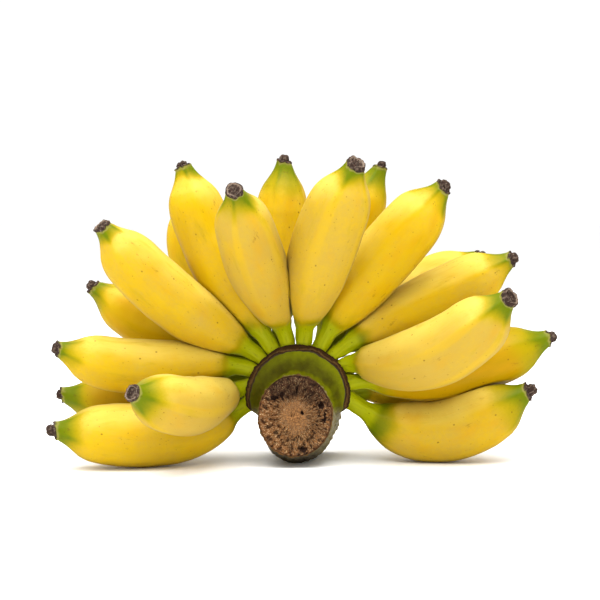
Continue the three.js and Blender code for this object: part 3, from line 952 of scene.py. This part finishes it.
def make_row(context, row):
    """Makes a row of fingers, each pressed by all the others."""
    scene = context.scene
    material = bpy.data.materials.get(SKIN_NAME) or skin_material(scene.hand_colours)
    strings = [beads_of(finger) for finger in FINGERS]
    for number, finger in enumerate(FINGERS):
        if finger.row != row:
            continue
        others = strings[:number] + strings[number + 1 :]
        beads = [np.concatenate(parts) for parts in zip(*others)]
        piece = make_finger(finger, scene.hand_shape, number, beads)
        dress(piece, finger.node, "skin", material)


class HAND_OT_crown(bpy.types.Operator):
    """Makes the stalk and crown"""

    bl_idname = "hand.crown"
    bl_label = "Stalk and crown"

    def execute(self, context):
        colours = context.scene.hand_colours
        piece = make_crown(context.scene.hand_shape)
        dress(piece, "stalk_and_crown", "stalk", crown_material(colours), cut_material(colours))
        return {"FINISHED"}


class HAND_OT_front_fingers(bpy.types.Operator):
    """Makes the front row of fingers"""

    bl_idname = "hand.front_fingers"
    bl_label = "Front fingers"

    def execute(self, context):
        make_row(context, "front")
        return {"FINISHED"}


class HAND_OT_back_fingers(bpy.types.Operator):
    """Makes the back row of fingers"""

    bl_idname = "hand.back_fingers"
    bl_label = "Back fingers"

    def execute(self, context):
        make_row(context, "back")
        return {"FINISHED"}


class HAND_OT_stage(bpy.types.Operator):
    """Sets the camera, the soft lights and the white floor"""

    bl_idname = "hand.stage"
    bl_label = "Stage"

    def execute(self, context):
        scene = context.scene
        data = bpy.data.cameras.new("Camera")
        data.lens, data.sensor_width = CAMERA["lens"], CAMERA["sensor"]
        data.clip_start = CAMERA["near"]
        camera = bpy.data.objects.new("Camera", data)
        camera.location = CAMERA["place"]
        camera.rotation_euler = (math.radians(90 - CAMERA["tilt"]), 0, 0)
        scene.collection.objects.link(camera)
        scene.camera = camera
        for name, place, width, height, watts in LIGHTS:
            light = bpy.data.lights.new(name, "AREA")
            light.shape, light.size, light.size_y, light.energy = "RECTANGLE", width, height, watts
            lamp = bpy.data.objects.new(name, light)
            aim = Vector(LIT_MIDDLE) - Vector(place)
            lamp.location, lamp.rotation_euler = place, aim.to_track_quat("-Z", "Y").to_euler()
            scene.collection.objects.link(lamp)
        world = bpy.data.worlds.new("White surround")
        world.use_nodes = True
        background = world.node_tree.nodes["Background"]
        background.inputs["Color"].default_value = (1, 1, 1, 1)
        background.inputs["Strength"].default_value = SURROUND
        scene.world = world
        scene.view_settings.view_transform = "Standard"
        mesh = bpy.data.meshes.new("floor")
        signs = ((-1, -1), (1, -1), (1, 1), (-1, 1))
        corners = [(x * FLOOR_REACH, y * FLOOR_REACH, -FLOOR_DROP) for x, y in signs]
        mesh.from_pydata(corners, [], [(0, 1, 2, 3)])
        floor = bpy.data.objects.new("floor", mesh)
        mesh.materials.append(floor_material(scene.hand_colours))
        scene.collection.objects.link(floor)
        return {"FINISHED"}


class HAND_PT_panel(bpy.types.Panel):
    """Lists the hand's pieces, sizes and colours"""

    bl_idname = "HAND_PT_panel"
    bl_label = "Hand of bananas"
    bl_space_type = "VIEW_3D"
    bl_region_type = "UI"
    bl_category = "Bananas"

    def draw(self, context):
        layout = self.layout
        for operator in OPERATORS:
            layout.operator(operator.bl_idname)
        for settings in (context.scene.hand_shape, context.scene.hand_colours):
            box = layout.box()
            for name in settings.__annotations__:
                box.prop(settings, name)


GROUPS = {"hand_shape": HandShape, "hand_colours": HandColours}
OPERATORS = (HAND_OT_crown, HAND_OT_front_fingers, HAND_OT_back_fingers, HAND_OT_stage)
CLASSES = (*GROUPS.values(), *OPERATORS, HAND_PT_panel)


def register():
    """Adds the settings, the operators and the panel to Blender."""
    for item in CLASSES:
        bpy.utils.register_class(item)
    for name, group in GROUPS.items():
        setattr(bpy.types.Scene, name, PointerProperty(type=group))


def unregister():
    """Takes them out again."""
    for name in GROUPS:
        delattr(bpy.types.Scene, name)
    for item in reversed(CLASSES):
        bpy.utils.unregister_class(item)


def main():
    """Builds the hand and its stage."""
    register()
    bpy.ops.hand.crown()
    bpy.ops.hand.front_fingers()
    bpy.ops.hand.back_fingers()
    bpy.ops.hand.stage()


if __name__ == "__main__":
    main()
